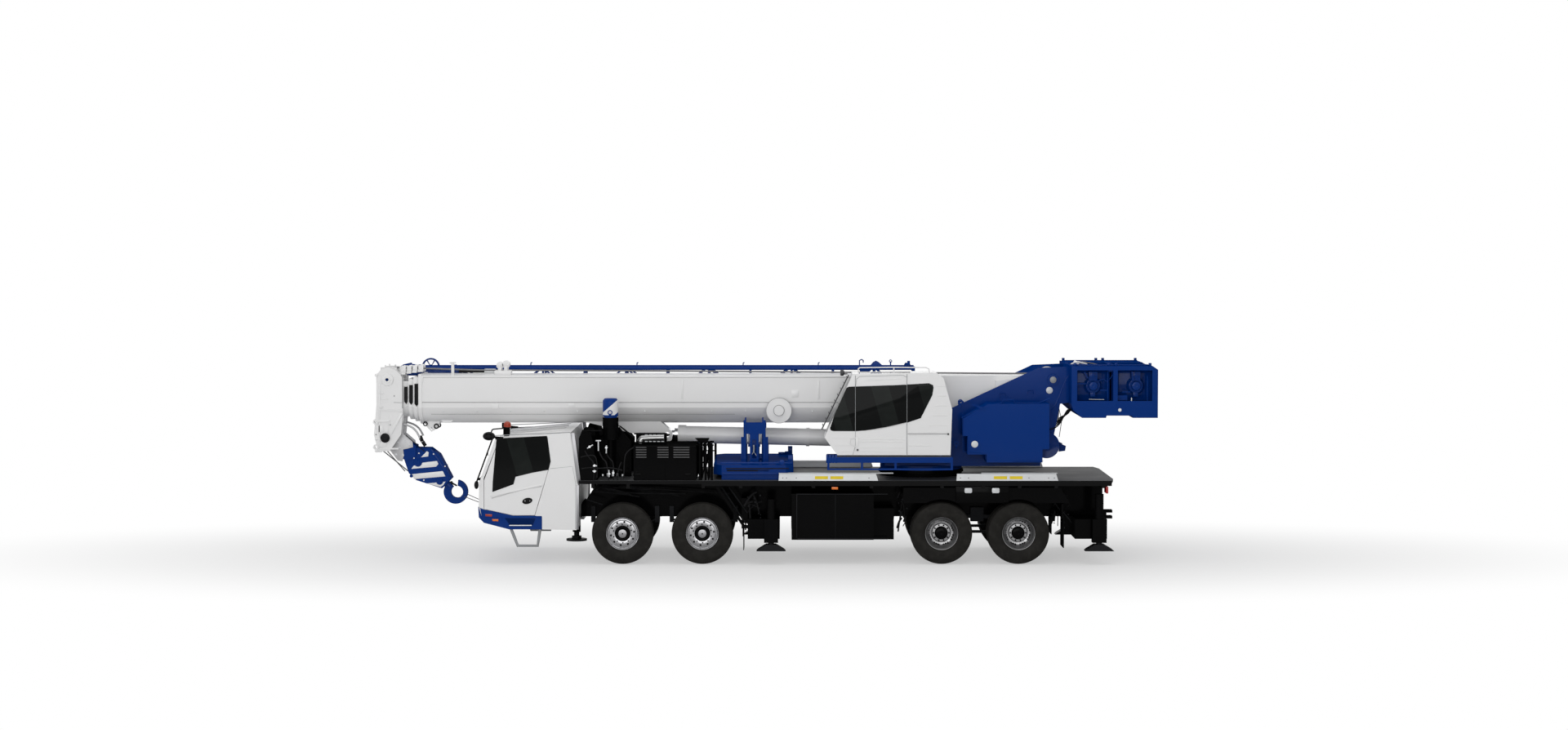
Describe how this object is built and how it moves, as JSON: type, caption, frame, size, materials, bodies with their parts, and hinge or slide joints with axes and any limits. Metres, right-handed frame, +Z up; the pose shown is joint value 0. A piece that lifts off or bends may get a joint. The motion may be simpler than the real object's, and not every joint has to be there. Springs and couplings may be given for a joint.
{
  "type": "truck crane",
  "caption": "Truck crane on four axles, with a telescopic boom, an operator's cab on a slewing superstructure, outriggers and a stowed hook block.",
  "frame": {"origin": "middle of the bounding box, on the ground under the wheels", "axes": "+X to the rear of the carrier, the front of the vehicle points to -X, +Y to the right-hand side, away from the picture's viewer, +Z up"},
  "size_m": [14.43, 2.98, 3.6608],
  "materials": {
    "white_paint": "semi-gloss",
    "blue_paint": "semi-gloss",
    "black_paint": "satin",
    "dark_steel": "matt",
    "engine_iron": "matt",
    "board_aluminium": "brushed",
    "exhaust_steel": "dull",
    "rope_steel": "dull",
    "amber_lamp": "gloss",
    "tinted_glass": "gloss",
    "interior_plastic": "matt",
    "rod_chrome": "polished",
    "tyre_rubber": "matt"
  },
  "bodies": {
    "carrier": {"chassis": "black_paint", "deck": "black_paint", "deck_boards": "board_aluminium", "fenders": "black_paint", "side_boxes": "black_paint", "axles_front": "dark_steel", "axles_rear": "dark_steel", "engine_block": "engine_iron", "engine_housing": "black_paint", "exhaust_pipe": "exhaust_steel", "deck_stands": "black_paint", "stowed_hook": "blue_paint", "counterweight": "blue_paint", "carrier_lamps": "amber_lamp", "carrier_cab": "white_paint", "cab_glass": "tinted_glass", "cab_interior": "interior_plastic", "cab_mirrors": "black_paint", "front_bumper": "blue_paint", "slew_ring": "dark_steel"},
    "cab_door_left": {"cab_door_left": "white_paint"},
    "cab_door_right": {"cab_door_right": "white_paint"},
    "knuckle_1l": {"knuckle_1l": "dark_steel"},
    "knuckle_1r": {"knuckle_1r": "dark_steel"},
    "knuckle_2l": {"knuckle_2l": "dark_steel"},
    "knuckle_2r": {"knuckle_2r": "dark_steel"},
    "wheel_1l": {"wheel_1l": "tyre_rubber"},
    "wheel_1r": {"wheel_1r": "tyre_rubber"},
    "wheel_2l": {"wheel_2l": "tyre_rubber"},
    "wheel_2r": {"wheel_2r": "tyre_rubber"},
    "wheel_3l": {"wheel_3l": "tyre_rubber"},
    "wheel_3r": {"wheel_3r": "tyre_rubber"},
    "wheel_4l": {"wheel_4l": "tyre_rubber"},
    "wheel_4r": {"wheel_4r": "tyre_rubber"},
    "outrigger_beam_1l": {"outrigger_beam_1l": "black_paint"},
    "outrigger_beam_1r": {"outrigger_beam_1r": "black_paint"},
    "outrigger_beam_2l": {"outrigger_beam_2l": "black_paint"},
    "outrigger_beam_2r": {"outrigger_beam_2r": "black_paint"},
    "outrigger_jack_1l": {"outrigger_jack_1l": "black_paint"},
    "outrigger_jack_1r": {"outrigger_jack_1r": "black_paint"},
    "outrigger_jack_2l": {"outrigger_jack_2l": "black_paint"},
    "outrigger_jack_2r": {"outrigger_jack_2r": "black_paint"},
    "front_jack": {"front_jack": "black_paint"},
    "superstructure": {"turntable": "blue_paint", "side_covers": "blue_paint", "operator_cab": "white_paint", "operator_glass": "tinted_glass", "operator_seat": "interior_plastic", "operator_door": "white_paint", "cab_walkway": "blue_paint", "winch_frame": "blue_paint", "winch_drums": "rope_steel"},
    "luffing_barrel": {"luffing_barrel": "white_paint"},
    "luffing_rod": {"luffing_rod": "rod_chrome"},
    "boom_base": {"boom_base": "white_paint", "fly_jib": "blue_paint"},
    "boom_section_2": {"boom_section_2": "white_paint"},
    "boom_section_3": {"boom_section_3": "white_paint"},
    "boom_tip": {"boom_tip": "white_paint"},
    "hook_block": {"hook_block": "blue_paint"}
  },
  "joints": [
    {"name": "door_left", "type": "hinge", "parent": "carrier", "child": "cab_door_left", "pos_m": [-5.034, -1.385, 1.3], "axis": [0, 0, -1], "range_deg": [0, 70]},
    {"name": "door_right", "type": "hinge", "parent": "carrier", "child": "cab_door_right", "pos_m": [-5.034, 1.385, 1.3], "axis": [0, 0, 1], "range_deg": [0, 70]},
    {"name": "steer_1l", "type": "hinge", "parent": "carrier", "child": "knuckle_1l", "pos_m": [-2.54, -0.985, 0.5625], "axis": [0, 0, 1], "range_deg": [-35, 35]},
    {"name": "steer_1r", "type": "hinge", "parent": "carrier", "child": "knuckle_1r", "pos_m": [-2.54, 0.985, 0.5625], "axis": [0, 0, 1], "range_deg": [-35, 35]},
    {"name": "steer_2l", "type": "hinge", "parent": "carrier", "child": "knuckle_2l", "pos_m": [-1.09, -0.985, 0.5625], "axis": [0, 0, 1], "range_deg": [-27, 27]},
    {"name": "steer_2r", "type": "hinge", "parent": "carrier", "child": "knuckle_2r", "pos_m": [-1.09, 0.985, 0.5625], "axis": [0, 0, 1], "range_deg": [-27, 27]},
    {"name": "wheel_1l_spin", "type": "hinge", "parent": "knuckle_1l", "child": "wheel_1l", "pos_m": [-2.54, -1.264, 0.5625], "axis": [0, 1, 0], "continuous": true},
    {"name": "wheel_1r_spin", "type": "hinge", "parent": "knuckle_1r", "child": "wheel_1r", "pos_m": [-2.54, 1.264, 0.5625], "axis": [0, 1, 0], "continuous": true},
    {"name": "wheel_2l_spin", "type": "hinge", "parent": "knuckle_2l", "child": "wheel_2l", "pos_m": [-1.09, -1.264, 0.5625], "axis": [0, 1, 0], "continuous": true},
    {"name": "wheel_2r_spin", "type": "hinge", "parent": "knuckle_2r", "child": "wheel_2r", "pos_m": [-1.09, 1.264, 0.5625], "axis": [0, 1, 0], "continuous": true},
    {"name": "wheel_3l_spin", "type": "hinge", "parent": "carrier", "child": "wheel_3l", "pos_m": [3.26, -1.264, 0.5625], "axis": [0, 1, 0], "continuous": true},
    {"name": "wheel_3r_spin", "type": "hinge", "parent": "carrier", "child": "wheel_3r", "pos_m": [3.26, 1.264, 0.5625], "axis": [0, 1, 0], "continuous": true},
    {"name": "wheel_4l_spin", "type": "hinge", "parent": "carrier", "child": "wheel_4l", "pos_m": [4.66, -1.264, 0.5625], "axis": [0, 1, 0], "continuous": true},
    {"name": "wheel_4r_spin", "type": "hinge", "parent": "carrier", "child": "wheel_4r", "pos_m": [4.66, 1.264, 0.5625], "axis": [0, 1, 0], "continuous": true},
    {"name": "outrigger_1l", "type": "slide", "parent": "carrier", "child": "outrigger_beam_1l", "axis": [0, -1, 0], "range_m": [0, 1.75]},
    {"name": "jack_1l", "type": "slide", "parent": "outrigger_beam_1l", "child": "outrigger_jack_1l", "axis": [0, 0, -1], "range_m": [0, 0.55]},
    {"name": "outrigger_1r", "type": "slide", "parent": "carrier", "child": "outrigger_beam_1r", "axis": [0, 1, 0], "range_m": [0, 1.75]},
    {"name": "jack_1r", "type": "slide", "parent": "outrigger_beam_1r", "child": "outrigger_jack_1r", "axis": [0, 0, -1], "range_m": [0, 0.55]},
    {"name": "outrigger_2l", "type": "slide", "parent": "carrier", "child": "outrigger_beam_2l", "axis": [0, -1, 0], "range_m": [0, 1.75]},
    {"name": "jack_2l", "type": "slide", "parent": "outrigger_beam_2l", "child": "outrigger_jack_2l", "axis": [0, 0, -1], "range_m": [0, 0.55]},
    {"name": "outrigger_2r", "type": "slide", "parent": "carrier", "child": "outrigger_beam_2r", "axis": [0, 1, 0], "range_m": [0, 1.75]},
    {"name": "jack_2r", "type": "slide", "parent": "outrigger_beam_2r", "child": "outrigger_jack_2r", "axis": [0, 0, -1], "range_m": [0, 0.55]},
    {"name": "front_jack_down", "type": "slide", "parent": "carrier", "child": "front_jack", "axis": [0, 0, -1], "range_m": [0, 0.4]},
    {"name": "slew", "type": "hinge", "parent": "carrier", "child": "superstructure", "pos_m": [2.95, 0, 1.65], "axis": [0, 0, 1], "continuous": true},
    {"name": "luff", "type": "hinge", "parent": "superstructure", "child": "boom_base", "pos_m": [5.346, 0, 3.322], "axis": [0, 1, 0], "range_deg": [0, 80]},
    {"name": "cylinder_foot", "type": "hinge", "parent": "superstructure", "child": "luffing_barrel", "pos_m": [3.898, 0, 2.154], "axis": [0, 1, 0], "range_deg": [0, 84]},
    {"name": "cylinder_stroke", "type": "slide", "parent": "luffing_barrel", "child": "luffing_rod", "axis": [-0.9998, 0, 0.0215], "range_m": [0, 2.4]},
    {"name": "telescope_2", "type": "slide", "parent": "boom_base", "child": "boom_section_2", "axis": [-1, 0, 0], "range_m": [0, 9.2]},
    {"name": "telescope_3", "type": "slide", "parent": "boom_section_2", "child": "boom_section_3", "axis": [-1, 0, 0], "range_m": [0, 9.2]},
    {"name": "telescope_tip", "type": "slide", "parent": "boom_section_3", "child": "boom_tip", "axis": [-1, 0, 0], "range_m": [0, 9.2]},
    {"name": "hook_swing", "type": "hinge", "parent": "boom_tip", "child": "hook_block", "pos_m": [-6.99, 0, 2.23], "axis": [0, 1, 0], "range_deg": [0, 50]}
  ],
  "couplings": [
    {"joint": "steer_1r", "follows": "steer_1l", "ratio": 1},
    {"joint": "steer_2l", "follows": "steer_1l", "ratio": 0.75},
    {"joint": "steer_2r", "follows": "steer_1l", "ratio": 0.75},
    {"joint": "cylinder_foot", "follows": "luff", "ratio": 1.0365},
    {"joint": "cylinder_stroke", "follows": "luff", "m_per_rad": 1.695}
  ]
}
